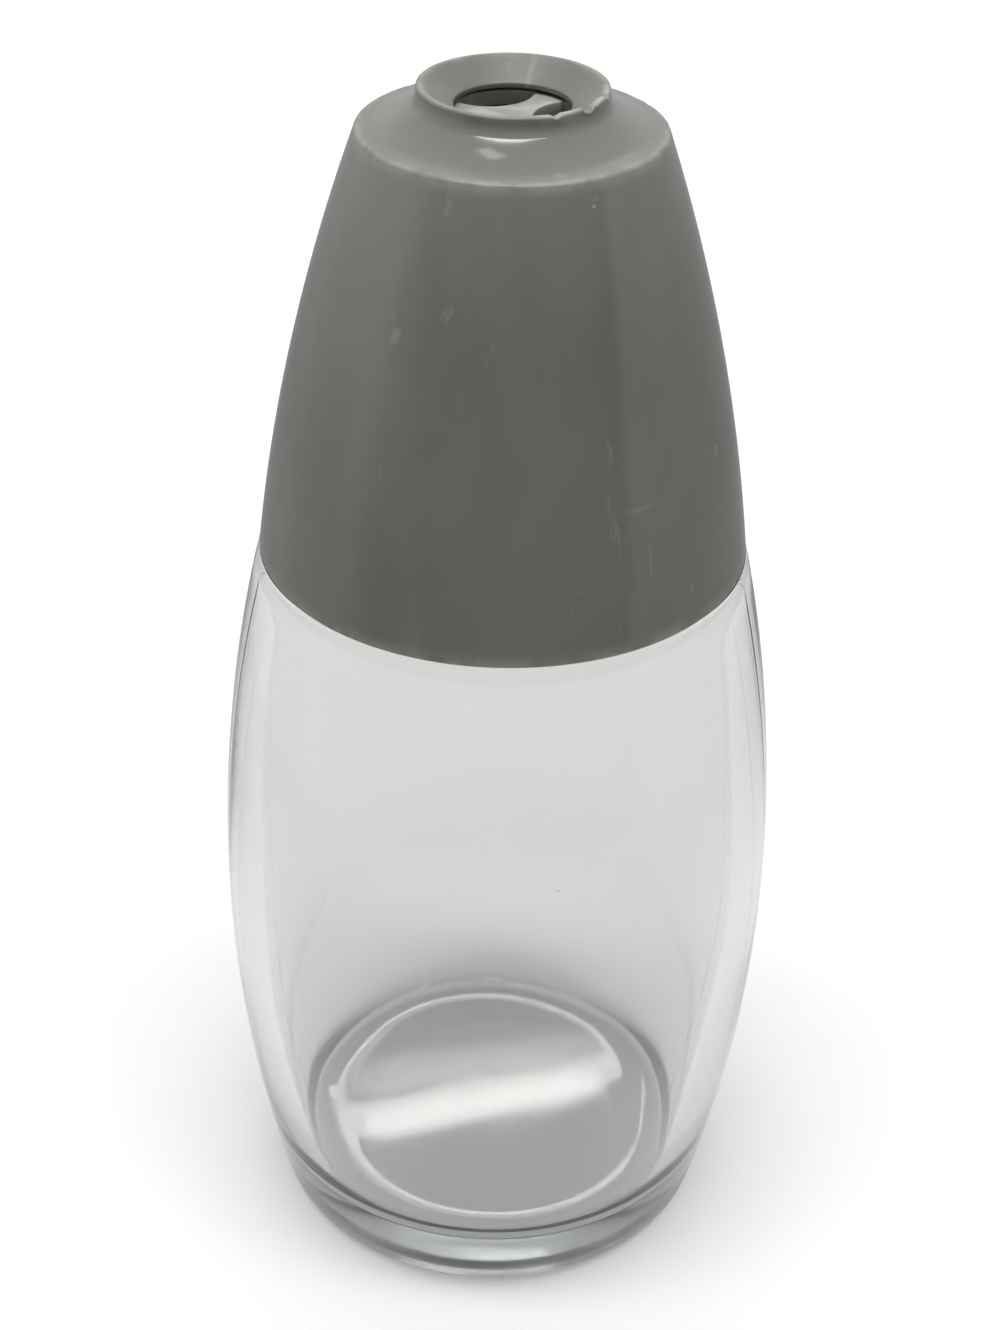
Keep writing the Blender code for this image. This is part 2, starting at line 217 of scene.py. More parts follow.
class CapSettings(bpy.types.PropertyGroup):
    """Screw cap."""

    skirt_radius: length("Skirt radius", 20.43 * MM, "Outside of the open edge")
    bore: length("Bore", 17.63 * MM, "Inside of the skirt between threads")
    rise: length("Rise", 35.6 * MM, "Open edge to the crown's outer edge")
    bulge: length("Bulge", 1.04 * MM, "How far the side bows out from a straight cone")
    wall: length("Wall", 1.5 * MM, "Thickness of the side")
    crown_radius: length("Crown radius", 12.0 * MM, "Outer edge of the crown")
    crown_rise: length("Crown rise", 2.2 * MM, "Outer edge up to the collar's foot")
    crown_dip: length("Crown dip", 0.36 * MM, "Hollow of the crown below a straight slope")
    crown_round: length("Crown round", 0.35 * MM, "Outer edge of the crown")
    collar_radius: length("Collar radius", 7.35 * MM, "Outside of the collar")
    collar_fillet: length("Collar fillet", 1.7 * MM, "Hollow corner at the collar's foot")
    rim: length("Rim", 0.45 * MM, "Width of the collar's rim")
    rim_round: length("Rim round", 0.2 * MM, "Edges of the rim")
    dish: length("Dish", 1.5 * MM, "Rim to the edge of the hole")
    hole: length("Hole", 4.5 * MM, "Radius of the hole")
    hole_land: length("Hole land", 0.4 * MM, "Straight wall of the hole")
    seat_radius: length("Seat radius", 6.45 * MM, "Recess that holds the disc")
    snap_radius: length("Snap radius", 5.95 * MM, "Ring that holds the disc in")
    snap_height: length("Snap height", 0.65 * MM, "Thickness of that ring")
    clearance: length("Clearance", 0.3 * MM, "Gap round the disc and over the neck")
    drop: length("Drop", 0.24 * MM,
                 "How far the skirt's edge reaches below the CAD, on to the shoulder")
    chip_depth: length("Chip depth", 0.40 * MM, "Deepest chip in the rim")
    plastic: colour("Plastic", (0.137, 0.146, 0.128), "Moulded colour")
    # Also the colour of the painted highlight on the crown's front edge
    worn: colour("Worn plastic", (0.42, 0.42, 0.35), "Colour of scuffs and rubbed edges")
    # Painted shade: the dark colour given to the inside of the cap
    inside_shade: colour("Inside shade", (0.045, 0.045, 0.040), "Residue on the inside")


class DiscSettings(bpy.types.PropertyGroup):
    """Metering disc."""

    radius: length("Radius", DISC_HIGH.x, "Outside of the disc")
    hub: length("Hub", 1.6 * MM, "Solid middle between the openings")
    opening: length("Opening", 3.6 * MM, "Radius of each opening's inner side")
    reach: length("Reach", 4.9 * MM, "Outer side of the openings from the axis")
    count: IntProperty(name="Openings", description="How many openings", default=3)
    turn: number("Turn", math.radians(112.0), "Direction of the first opening", subtype="ANGLE")
    edge: length("Edge", 0.12 * MM, "Bevel along the edges")
    plastic: colour("Plastic", (0.30, 0.31, 0.285), "Moulded colour")
    dust: colour("Dust", (0.42, 0.42, 0.38), "Dust and rubbed edges")


class StageSettings(bpy.types.PropertyGroup):
    """Floor, light and camera."""

    camera: FloatVectorProperty(name="Camera", description="Where the camera stands", size=3,
                                default=(0.0, -0.16823, 0.16597), subtype="XYZ", unit="LENGTH")
    aim: length("Aim", 55.5 * MM, "Height on the axis that the camera looks at")
    roll: number("Roll", math.radians(1.307),
                 "Turn of the camera about its own line of sight", subtype="ANGLE")
    lens: number("Lens", 62.26, "Focal length in millimetres on a 36 mm frame")
    floor_size: length("Floor size", 6.0, "Side of the floor")
    floor_gap: length("Floor gap", 0.05 * MM, "Air between the jar's base and the floor")
    floor: colour("Floor", (0.68, 0.68, 0.68), "Paint of the floor")
    glow: number("Glow", 0.24, "Light that the floor adds where it is looked at")
    glow_far: number("Glow far away", 0.73, "That light far from the lamps")
    ambient: number("Ambient", 0.40, "Light that comes from all round")
    lamp: number("Ceiling lamp", 5.6, "Power of the lamp above", unit="POWER")
    overhead: number("Overhead panel", 3.7, "Power of the panel above", unit="POWER")
    second: number("Second lamp", 0.25, "Power of the lamp above and behind", unit="POWER")
    back: number("Back strip", 0.45, "Power of the strip behind", unit="POWER")
    screen_foot: number("Screen foot", 0.34, "Light of the floor at the screen's foot")
    screen_radius: length("Screen radius", 0.14, "Distance of the screen that the gloss mirrors")
    screen_height: length("Screen height", 0.19, "Height of that screen")
    screen_front: number("Screen front", 0.10, "Light of the screen in front")
    screen_left: number("Screen left", 1.0, "Light of the screen on the left")
    screen_right: number("Screen right", 0.62, "Light of the screen on the right")
    screen_back: number("Screen back", 0.60, "Light of the screen behind")


class Outline:
    """Half section of a turned piece, drawn in the XZ plane with a moving tip."""

    def __init__(self, radius, height):
        self.shape = bmesh.new()
        self.tip = self.shape.verts.new((radius, 0.0, height))
        self.first = self.tip
        self.corners = []

    def line(self, radius, height, corner=0.0):
        """Straight run to a point, whose corner is then rounded to a radius."""
        self.tip = bmesh.ops.extrude_vert_indiv(self.shape, verts=[self.tip])["verts"][0]
        self.tip.co = (radius, 0.0, height)
        self.round(corner)

    def arc(self, centre, angle, pieces, corner=0.0):
        """Run along a circle; a positive angle turns from +Z towards +X."""
        run = bmesh.ops.spin(self.shape, geom=[self.tip], cent=(centre[0], 0.0, centre[1]),
                             axis=(0.0, 1.0, 0.0), angle=angle, steps=pieces)
        self.tip = run["geom_last"][0]
        self.round(corner)

    def round(self, radius):
        """Mark the tip as a corner to be rounded."""
        if radius > 0.0:
            self.corners.append((self.tip, radius))

    def close(self):
        """Join the tip to the first point."""
        self.shape.edges.new((self.tip, self.first))

    def finish(self, longest, segments=6):
        """Round the marked corners and divide what is left of the long runs."""
        for corner, radius in self.corners:
            before, after = [(edge.other_vert(corner).co - corner.co).normalized()
                             for edge in corner.link_edges]
            turn = math.pi - before.angle(after)
            bmesh.ops.bevel(self.shape, geom=[corner], offset=radius * math.tan(turn / 2),
                            offset_type="OFFSET", affect="VERTICES", segments=segments,
                            profile=0.5, material=-1, clamp_overlap=False)
        self.divide(lambda middle: True, longest)
        return self.shape

    def divide(self, chosen, longest):
        """Divide the chosen edges into pieces no longer than a length."""
        for edge in list(self.shape.edges):
            middle = (edge.verts[0].co + edge.verts[1].co) / 2
            cuts = math.ceil(edge.calc_length() / longest) - 1
            if cuts > 0 and chosen(middle):
                bmesh.ops.subdivide_edges(self.shape, edges=[edge], cuts=cuts)


def turn_round(shape, sectors):
    """Spin a drawn section once round Z, in sectors of an angle and a count of steps."""
    section = shape.verts[:] + shape.edges[:]
    for angle, steps in sectors:
        turned = bmesh.ops.spin(shape, geom=section, cent=(0.0, 0.0, 0.0), axis=(0.0, 0.0, 1.0),
                                angle=angle, steps=steps, use_merge=len(sectors) == 1)
        section = turned["geom_last"]
    bmesh.ops.remove_doubles(shape, verts=shape.verts, dist=WELD)
    bmesh.ops.recalc_face_normals(shape, faces=shape.faces)


def add_piece(name, shape, material, body, node):
    """Make a finished shape a smooth piece that rides on a body and stands for a CAD node."""
    mesh = bpy.data.meshes.new(name)
    shape.to_mesh(mesh)
    shape.free()
    mesh.materials.append(material)
    mesh.shade_smooth()
    piece = bpy.data.objects.new(name, mesh)
    bpy.context.scene.collection.objects.link(piece)
    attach(piece, body)
    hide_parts(node)
    return piece


def polar(point):
    """Radius and angle of a point round the axis."""
    return math.hypot(point.x, point.y), math.atan2(point.y, point.x)


def ridge_height(thread, angle, height, start, turns, foot):
    """How far a round thread stands out of its wall at an angle and height."""
    highest = 0.0
    for lap in range(3):
        turn = angle / FULL_TURN % 1.0 + lap
        run = min(turn - start, start + turns - turn)
        if run < 0.0:
            continue
        size = thread.bead * min(1.0, run / thread.fade)
        aside = height - foot - thread.pitch * turn
        if abs(aside) < size:
            highest = max(highest, math.sqrt(size ** 2 - aside ** 2))
    return highest


def bell(distance, width):
    """1 at no distance, falling off evenly over a width."""
    return math.exp(-(distance / width) ** 2)


def limited(value):
    """A value kept between 0 and 1."""
    return max(0.0, min(1.0, value))


def push_out(vert, distance):
    """Move a point away from the axis."""
    radius = polar(vert.co)[0]
    vert.co.x *= 1.0 + distance / radius
    vert.co.y *= 1.0 + distance / radius


# Materials


def put(tree, kind, inputs=None, **settings):
    """Add a node, set its options and fill its sockets from values or from other nodes."""
    node = tree.nodes.new(kind)
    for name, value in settings.items():
        setattr(node, name, value)
    for socket, value in (inputs or {}).items():
        if isinstance(value, bpy.types.NodeSocket):
            tree.links.new(value, node.inputs[socket])
        else:
            node.inputs[socket].default_value = value
    return node


def new_finish(name):
    """Material with an empty Principled shader; gives the material, its tree and the shader."""
    material = bpy.data.materials.new(name)
    material.use_nodes = True
    tree = material.node_tree
    return material, tree, tree.nodes["Principled BSDF"]


def calc(tree, operation, first, second=0.0, clamp=False):
    """Output of one sum."""
    return put(tree, "ShaderNodeMath", {0: first, 1: second}, operation=operation,
               use_clamp=clamp).outputs[0]


def band(tree, value, low, high):
    """Value mapped from low..high to 0..1, smoothly."""
    return put(tree, "ShaderNodeMapRange", {"Value": value, "From Min": low, "From Max": high},
               interpolation_type="SMOOTHSTEP").outputs["Result"]


def spread(tree, value, low, high):
    """Value from 0..1 mapped to low..high."""
    return put(tree, "ShaderNodeMapRange", {"Value": value, "To Min": low, "To Max": high}
               ).outputs["Result"]


def grain(tree, scale, detail=2.0, stretch=(1.0, 1.0, 1.0), turn=(0.0, 0.0, 0.0)):
    """Noise on Object coordinates, in features for each metre."""
    place = put(tree, "ShaderNodeTexCoord").outputs["Object"]
    place = put(tree, "ShaderNodeMapping", {"Vector": place, "Scale": stretch, "Rotation": turn}
                ).outputs["Vector"]
    return put(tree, "ShaderNodeTexNoise", {"Vector": place, "Scale": scale, "Detail": detail}
               ).outputs["Fac"]


def specks(tree, cell, size, share):
    """Small round spots: one in each share of the cells, which measure cell across."""
    place = put(tree, "ShaderNodeTexCoord").outputs["Object"]
    cells = put(tree, "ShaderNodeTexVoronoi", {"Vector": place, "Scale": 1.0 / cell})
    spot = band(tree, cells.outputs["Distance"], size / cell, 0.4 * size / cell)
    pick = put(tree, "ShaderNodeSeparateColor", {"Color": cells.outputs["Color"]})
    return calc(tree, "MULTIPLY", spot, calc(tree, "LESS_THAN", pick.outputs["Red"], share))


def mixed(tree, factor, first, second):
    """Mix of two colours, each an RGB value or a socket."""
    colours = [c if isinstance(c, bpy.types.NodeSocket) else (*c, 1.0) for c in (first, second)]
    node = put(tree, "ShaderNodeMix", data_type="RGBA", clamp_factor=True)
    for socket, value in ((0, factor), (6, colours[0]), (7, colours[1])):
        if isinstance(value, bpy.types.NodeSocket):
            tree.links.new(value, node.inputs[socket])
        else:
            node.inputs[socket].default_value = value
    return node.outputs[2]


def attribute(tree, name):
    """A painted value of the piece."""
    return put(tree, "ShaderNodeAttribute", attribute_name=name).outputs["Fac"]


def relief(tree, height, depth, strength=1.0):
    """Bump from a height of 0..1."""
    return put(tree, "ShaderNodeBump", {"Height": height, "Distance": depth, "Strength": strength}
               ).outputs["Normal"]


def scaled(tone, factor):
    """A colour made lighter or darker."""
    return tuple(min(1.0, factor * part) for part in tone)


def glass_finish(jar):
    """Clear moulded glass: faint grey in the thickness, a colour a little below white that greys
    all of it as painted shade, a film of handling in the roughness, a few specks.
    """
    material, tree, shader = new_finish("clear_glass")
    film = grain(tree, 70.0, 5.0)
    hairs = band(tree, grain(tree, 260.0, 1.0, (1.0, 1.0, 0.12), (0.5, 0.3, 0.0)), 0.70, 0.78)
    dirt = specks(tree, 7.0 * MM, 0.16 * MM, 0.10)
    put_in = shader.inputs
    put_in["Transmission Weight"].default_value = 1.0
    put_in["IOR"].default_value = 1.5
    # The glass's colour, a little below white, is painted shade over all of it
    tree.links.new(mixed(tree, dirt, tuple(jar.film), (0.10, 0.09, 0.08)),
                   put_in["Base Color"])
    rough = calc(tree, "ADD", spread(tree, band(tree, film, 0.45, 0.70), 0.02, 0.06),
                 calc(tree, "MULTIPLY", hairs, 0.05))
    scuffs = calc(tree, "MULTIPLY", attribute(tree, "scuff"),
                  spread(tree, band(tree, grain(tree, 180.0, 4.0), 0.30, 0.70), 0.75, 1.0))
    rough = calc(tree, "ADD", rough, calc(tree, "MULTIPLY", scuffs, jar.scuff))
    tree.links.new(rough, put_in["Roughness"])
    ripple = calc(tree, "ADD", grain(tree, 120.0, 1.0), calc(tree, "MULTIPLY", hairs, 0.08))
    tree.links.new(relief(tree, ripple, 0.05 * MM, 0.1), put_in["Normal"])
    tint = put(tree, "ShaderNodeVolumeAbsorption",
               {"Color": (*jar.tint, 1.0), "Density": jar.density})
    tree.links.new(tint.outputs["Volume"], tree.nodes["Material Output"].inputs["Volume"])
    return material


def cap_finish(cap):
    """Glossy moulded plastic with flow marks, handling scuffs and rubbed, paler edges, a painted
    highlight on the crown's front edge and painted shade inside.
    """
    material, tree, shader = new_finish("grey_cap_plastic")
    mottle = grain(tree, 45.0, 4.0)
    flow = grain(tree, 150.0, 3.0, (1.0, 1.0, 0.06))
    tone = calc(tree, "ADD", calc(tree, "MULTIPLY", mottle, 0.55),
                calc(tree, "MULTIPLY", flow, 0.45))
    moulded = mixed(tree, band(tree, tone, 0.40, 0.60), scaled(cap.plastic, 0.92),
                    scaled(cap.plastic, 1.07))
    patches = band(tree, grain(tree, 90.0, 3.0), 0.50, 0.68)
    upright = band(tree, grain(tree, 900.0, 2.0, (1.0, 1.0, 0.08), (0.10, 0.05, 0.0)), 0.66, 0.76)
    level = band(tree, grain(tree, 800.0, 2.0, (0.10, 0.10, 1.0), (0.15, 0.25, 0.0)), 0.68, 0.78)
    scratches = calc(tree, "MULTIPLY", calc(tree, "MAXIMUM", upright, level), patches)
    flecks = calc(tree, "MAXIMUM", specks(tree, 6.0 * MM, 0.22 * MM, 0.16),
                  specks(tree, 3.1 * MM, 0.13 * MM, 0.14))
    streaks = band(tree, grain(tree, 430.0, 3.0, (1.0, 1.0, 0.55)), 0.66, 0.74)
    smears = calc(tree, "MULTIPLY", streaks,
                  band(tree, grain(tree, 60.0, 2.0, turn=(0.0, 0.0, 1.0)), 0.46, 0.60))
    # Rubbed edges, with a painted highlight on the crown's front edge
    rubbed = calc(tree, "MULTIPLY", attribute(tree, "wear_and_highlight"),
                  spread(tree, band(tree, grain(tree, 420.0, 4.0), 0.35, 0.62), 0.25, 1.0))
    weld = attribute(tree, "weld")
    marks = calc(tree, "MAXIMUM", calc(tree, "MULTIPLY", scratches, 0.13),
                 calc(tree, "MULTIPLY", flecks, 0.55))
    marks = calc(tree, "MAXIMUM", marks, calc(tree, "MULTIPLY", smears, 0.22))
    marks = calc(tree, "MAXIMUM", marks, calc(tree, "MULTIPLY", weld, 0.22))
    marks = calc(tree, "MAXIMUM", marks, rubbed, clamp=True)
    outside = mixed(tree, marks, moulded, cap.worn)
    # The inside of the cap is darkened towards a dark colour: painted shade
    tree.links.new(mixed(tree, attribute(tree, "inside_shade"), outside, tuple(cap.inside_shade)),
                   shader.inputs["Base Color"])
    film = spread(tree, band(tree, grain(tree, 55.0, 5.0), 0.40, 0.70), 0.07, 0.15)
    rough = calc(tree, "ADD", film, calc(tree, "MULTIPLY", marks, 0.25))
    rough = calc(tree, "ADD", rough, calc(tree, "MULTIPLY", attribute(tree, "matt"), 0.30))
    tree.links.new(rough, shader.inputs["Roughness"])
    skin = calc(tree, "ADD", calc(tree, "MULTIPLY", grain(tree, 700.0, 2.0), 0.5),
                calc(tree, "MULTIPLY", calc(tree, "ADD", scratches, flecks), -0.5))
    tree.links.new(relief(tree, skin, 0.02 * MM, 0.6), shader.inputs["Normal"])
    shader.inputs["IOR"].default_value = 1.5
    return material


def disc_finish(disc):
    """Satin moulded plastic with dust settled on it."""
    material, tree, shader = new_finish("grey_disc_plastic")
    moulded = mixed(tree, band(tree, grain(tree, 260.0, 4.0), 0.35, 0.65),
                    scaled(disc.plastic, 0.9), scaled(disc.plastic, 1.1))
    settled = calc(tree, "MULTIPLY", band(tree, grain(tree, 520.0, 5.0), 0.5, 0.72), 0.45)
    dust = calc(tree, "MAXIMUM", settled, specks(tree, 1.3 * MM, 0.12 * MM, 0.25), clamp=True)
    tree.links.new(mixed(tree, dust, moulded, disc.dust), shader.inputs["Base Color"])
    tree.links.new(spread(tree, dust, 0.30, 0.6), shader.inputs["Roughness"])
    tree.links.new(relief(tree, grain(tree, 1500.0, 3.0), 0.02 * MM, 0.6), shader.inputs["Normal"])
    return material


# Pieces


def barrel_circle(jar):
    """Radius and centre of the circle that the barrel's side follows."""
    rise = jar.body_height - jar.belly_height
    curve = (rise ** 2 + jar.belly_swell ** 2) / (2 * jar.belly_swell)
    return curve, (jar.belly_radius - curve, jar.belly_height)


def draw_jar(jar):
    """Half section of the glass: inside floor, up the inside, over the lip and down the outside."""
    curve, centre = barrel_circle(jar)
    inner = curve - jar.wall
    ceiling = jar.body_height - jar.shoulder
    low = math.asin((jar.base - jar.belly_height) / inner)
    high = math.asin((ceiling - jar.belly_height) / inner)
    first, last = FLOOR_CLEAR / inner, CEILING_CLEAR / inner
    pen = Outline(0.0, jar.base)
    pen.line(centre[0] + inner * math.cos(low), jar.base, jar.floor_round)
    pen.arc(centre, -first, 1)
    pen.arc(centre, first + low - high + last, INSIDE_STEPS)
    pen.arc(centre, -last, 1, jar.ceiling_round)
    pen.line(jar.neck_bore, ceiling, jar.mouth_round)
    pen.line(jar.neck_bore, jar.neck_top, jar.lip_round)
    pen.line(jar.neck_radius, jar.neck_top, jar.lip_round)
    pen.line(jar.neck_radius, jar.body_height)
    top = math.asin((jar.body_height - jar.belly_height) / curve)
    bottom = math.asin(-jar.belly_height / curve)
    pen.line(centre[0] + curve * math.cos(top), jar.body_height, jar.shoulder_round)
    pen.arc(centre, top - bottom, OUTSIDE_STEPS, jar.heel_round)
    ring = pen.tip.co.x - jar.heel_round - jar.bearing
    pen.line(ring, 0.0, RING_ROUND)
    pen.line(ring - jar.punt_slope, jar.punt, RING_ROUND)
    pen.line(0.0, jar.punt)
    pen.finish(JAR_RUN)
    pen.divide(lambda p: abs(p.x - jar.neck_radius) < WELD and p.z > jar.body_height, THREAD_RUN)
    return pen.shape


def waves(vert, jar, kind):
    """Unevenness of the moulded glass at a point."""
    share, often = kind
    return share * jar.waviness * noise.noise(vert.co * often)


def shape_glass(shape, jar, thread):
    """Raise the neck's thread and the mould seams, and make the moulded glass a little uneven."""
    curve, centre = barrel_circle(jar)
    for vert in shape.verts:
        radius, angle = polar(vert.co)
        height = vert.co.z
        if radius < WELD:
            continue
        if abs(radius - jar.neck_radius) < WELD and height > jar.body_height:
            push_out(vert, ridge_height(thread, angle, height, 0.0, thread.jar_turns, thread.foot))
            continue
        depth = curve - math.hypot(radius - centre[0], height - centre[1])
        near_floor = radius < jar.neck_bore + FLOOR_EDGE and height < jar.base + FLOOR_BAND
        if SEAM_START < height < jar.body_height and depth < jar.wall / 2:
            aside = radius * min(abs(angle), math.pi - abs(angle))
            seam = jar.seam * bell(aside, SEAM_WIDTH)
            push_out(vert, seam + waves(vert, jar, OUTSIDE_WAVES))
        elif near_floor and height > jar.punt + WELD:
            vert.co.z += waves(vert, jar, FLOOR_WAVES)
        elif jar.base < height < jar.body_height - jar.shoulder:
            push_out(vert, waves(vert, jar, INSIDE_WAVES))


def paint_scuffs(piece, jar):
    """Write where the glass is scuffed: outside at the heel, and the ring that it stands on."""
    curve, centre = barrel_circle(jar)
    scuff = piece.data.attributes.new("scuff", "FLOAT", "POINT")
    for index, vert in enumerate(piece.data.vertices):
        radius = polar(vert.co)[0]
        depth = curve - math.hypot(radius - centre[0], vert.co.z - centre[1])
        outside = depth < jar.wall / 2 or vert.co.z < jar.base / 2
        fade = limited((SCUFF_TOP - vert.co.z) / SCUFF_FADE)
        worn = limited((radius - SCUFF_INNER) / SCUFF_WIDTH)
        scuff.data[index].value = fade * worn if outside else 0.0


class DISPENSER_OT_glass_jar(bpy.types.Operator):
    """Make the clear glass jar with its threaded neck"""

    bl_idname = "dispenser.glass_jar"
    bl_label = "Glass jar"

    def execute(self, context):
        jar = context.scene.dispenser_jar
        shape = draw_jar(jar)
        seam = (SEAM_SECTOR, SEAM_STEPS)
        half = [seam, (math.pi - 2 * SEAM_SECTOR, BETWEEN_SEAMS_STEPS), seam]
        turn_round(shape, half + half)
        shape_glass(shape, jar, context.scene.dispenser_thread)
        piece = add_piece("jar_glass", shape, glass_finish(jar), "jar", "glass_jar")
        paint_scuffs(piece, jar)
        return {"FINISHED"}


def draw_cap(cap, neck_top):
    """Half section of the cap: rim, crown, down the outside, up the inside, hole and dish."""
    foot = CAP_LOW.z
    top = CAP_HIGH.z
    crown = foot + cap.rise
    edge = foot - cap.drop
    collar_foot = crown + cap.crown_rise
    pen = Outline(cap.collar_radius, top)
    pen.round(cap.rim_round)
    pen.line(cap.collar_radius, collar_foot, cap.collar_fillet)
    width = cap.crown_radius - cap.collar_radius
    chord = math.hypot(width, cap.crown_rise)
    curve = ((chord / 2) ** 2 + cap.crown_dip ** 2) / (2 * cap.crown_dip)
    lean = math.atan2(cap.crown_rise, width)
    half = math.asin(chord / 2 / curve)
    centre = (cap.crown_radius + curve * math.sin(lean - half),
              crown + curve * math.cos(lean - half))
    pen.arc(centre, -2 * half, CROWN_STEPS, cap.crown_round)
    across = cap.skirt_radius - cap.crown_radius
    chord = math.hypot(across, cap.rise)
    curve = ((chord / 2) ** 2 + cap.bulge ** 2) / (2 * cap.bulge)
    back = curve - cap.bulge
    centre = ((cap.skirt_radius + cap.crown_radius) / 2 - back * cap.rise / chord,
              foot + cap.rise / 2 - back * across / chord)
    half = math.asin(chord / 2 / curve)
    pen.arc(centre, 2 * half, SIDE_STEPS)
    pen.line(cap.skirt_radius + cap.drop * across / cap.rise / 2, edge, EDGE_ROUND)
    pen.line(cap.bore + CHAMFER, edge)
    pen.line(cap.bore, foot + CHAMFER)
    inner = curve - cap.wall
    low = neck_top + cap.clearance
    high = crown - cap.wall
    first = math.asin((low - centre[1]) / inner)
    last = math.asin((high - centre[1]) / inner)
    pen.line(cap.bore, low)
    pen.line(centre[0] + inner * math.cos(first), low)
    pen.arc(centre, first - last, HOLLOW_STEPS)
    ceiling = top - cap.dish - cap.hole_land
    snap_top = DISC_LOW.z - cap.clearance
    pen.line(cap.snap_radius, snap_top - cap.snap_height)
    pen.line(cap.snap_radius, snap_top)
    pen.line(cap.seat_radius, snap_top)
    pen.line(cap.seat_radius, ceiling)
    pen.line(cap.hole, ceiling, HOLE_LOW_ROUND)
    pen.line(cap.hole, ceiling + cap.hole_land, HOLE_HIGH_ROUND)
    pen.line(cap.collar_radius - cap.rim, top, cap.rim_round)
    pen.close()
    pen.finish(CAP_RUN, segments=5)
    pen.divide(lambda p: abs(p.x - cap.bore) < WELD and p.z < low, THREAD_RUN)
    rim_foot = collar_foot - RIM_DEPTH
    pen.divide(lambda p: p.z > rim_foot and cap.hole < p.x < cap.collar_radius + WELD, RIM_RUN)
    return pen.shape


def window(angle, first, last, soft):
    """1 between two angles in degrees, falling to 0 over the soft edge."""
    degrees = math.degrees(angle)
    inside = min(degrees - first, last - degrees)
    share = limited(inside / soft)
    return share * share * (3.0 - 2.0 * share)


def notch(angle, kind):
    """How deep an edge is notched at an angle."""
    often, row, layer, level = kind
    return max(0.0, noise.noise(Vector((often * angle, row, layer))) + level)


def shape_cap(shape, cap, thread):
    """Raise the inner thread, chip the rim at the front right and nick the crown's edge."""
    crown = CAP_LOW.z + cap.rise
    foot = thread.foot - thread.pitch / 2
    for vert in shape.verts:
        radius, angle = polar(vert.co)
        height = vert.co.z
        if abs(radius - cap.bore) < WELD and height < JAR_HIGH.z:
            push_out(vert, -ridge_height(thread, angle, height, thread.cap_start,
                                         thread.cap_turns, foot))
        near_rim = bell(CAP_HIGH.z - height, CHIP_REACH)
        if radius < cap.collar_radius + 0.1 * MM and near_rim > FAINT:
            chips = notch(angle, CHIPS) + BITE_SHARE * notch(angle, BITES)
            depth = window(angle, *CHIPPED) * chips
            vert.co.z -= min(CHIP_LIMIT, CHIP_DOWN * depth) * cap.chip_depth * near_rim
            push_out(vert, CHIP_OUT * cap.chip_depth * near_rim * depth)
        near_edge = bell(math.hypot(radius - cap.crown_radius, height - crown), NICK_REACH)
        if near_edge > FAINT:
            nick = notch(angle, NICKS)
            push_out(vert, -NICK_IN * nick * near_edge)
            vert.co.z -= NICK_DOWN * nick * near_edge


def paint_wear(piece, cap):
    """Write where the plastic is rubbed, matt or darkened inside as painted shade, and where two
    flows met in the dish; the crown's rubbed edge is paler on the front as a painted highlight.
    """
    mesh = piece.data
    crown = CAP_LOW.z + cap.rise
    for name in PAINTED:
        mesh.attributes.new(name, "FLOAT", "POINT")
    wear_and_highlight, weld, matt, inside_shade = [mesh.attributes[name] for name in PAINTED]
    ceiling = CAP_HIGH.z - cap.dish - cap.hole_land
    for index, vert in enumerate(mesh.vertices):
        radius, angle = polar(vert.co)
        to_edge = math.hypot(radius - cap.crown_radius + 0.1 * MM, vert.co.z - crown)
        to_rim = math.hypot(radius - cap.collar_radius + 0.3 * MM, vert.co.z - CAP_HIGH.z)
        to_skirt = math.hypot(radius - cap.skirt_radius, vert.co.z - CAP_LOW.z)
        # The crown's edge is paler on the front than behind: a painted highlight over the real wear
        front = 0.5 - 0.5 * math.sin(angle)
        value = CROWN_WEAR_AND_HIGHLIGHT * (0.5 + 0.5 * front) * bell(to_edge, CROWN_WEAR_WIDTH)
        rubbed = RUBBED_WEAR * window(angle, *RUBBED)
        value += (RIM_WEAR + rubbed) * bell(to_rim, RIM_WEAR_WIDTH)
        value += SKIRT_WEAR * bell(to_skirt, SKIRT_WEAR_WIDTH)
        wear_and_highlight.data[index].value = min(1.0, value)
        aside = radius * (angle - WELD_LINE)
        in_dish = radius < cap.collar_radius and vert.co.z > ceiling
        weld.data[index].value = bell(aside, WELD_LINE_WIDTH) if in_dish else 0.0
        handled = 0.0
        if vert.co.z > crown - 0.1 * MM:
            handled = limited((radius - HANDLED_FROM) / HANDLED_OVER)
        dulled = max(HANDLED_MATT * handled, min(1.0, 2.0 * value))
        matt.data[index].value = 1.0 if in_dish else dulled
        # Faces turned inwards below the hole's ceiling, the inside of the cap, get painted shade
        inwards = vert.normal.x * vert.co.x + vert.normal.y * vert.co.y < 0.0
        below = vert.co.z < ceiling + WELD
        inside_shade.data[index].value = INSIDE_SHADE_LEVEL if inwards and below else 0.0


class DISPENSER_OT_screw_cap(bpy.types.Operator):
    """Make the tall grey cap with its thread, dished collar and worn edges"""

    bl_idname = "dispenser.screw_cap"
    bl_label = "Screw cap"

    def execute(self, context):
        cap = context.scene.dispenser_cap
        shape = draw_cap(cap, context.scene.dispenser_jar.neck_top)
        turn_round(shape, [(FULL_TURN, CAP_SEGMENTS)])
        shape_cap(shape, cap, context.scene.dispenser_thread)
        piece = add_piece("cap_plastic", shape, cap_finish(cap), "cap", "screw_cap")
        paint_wear(piece, cap)
        return {"FINISHED"}


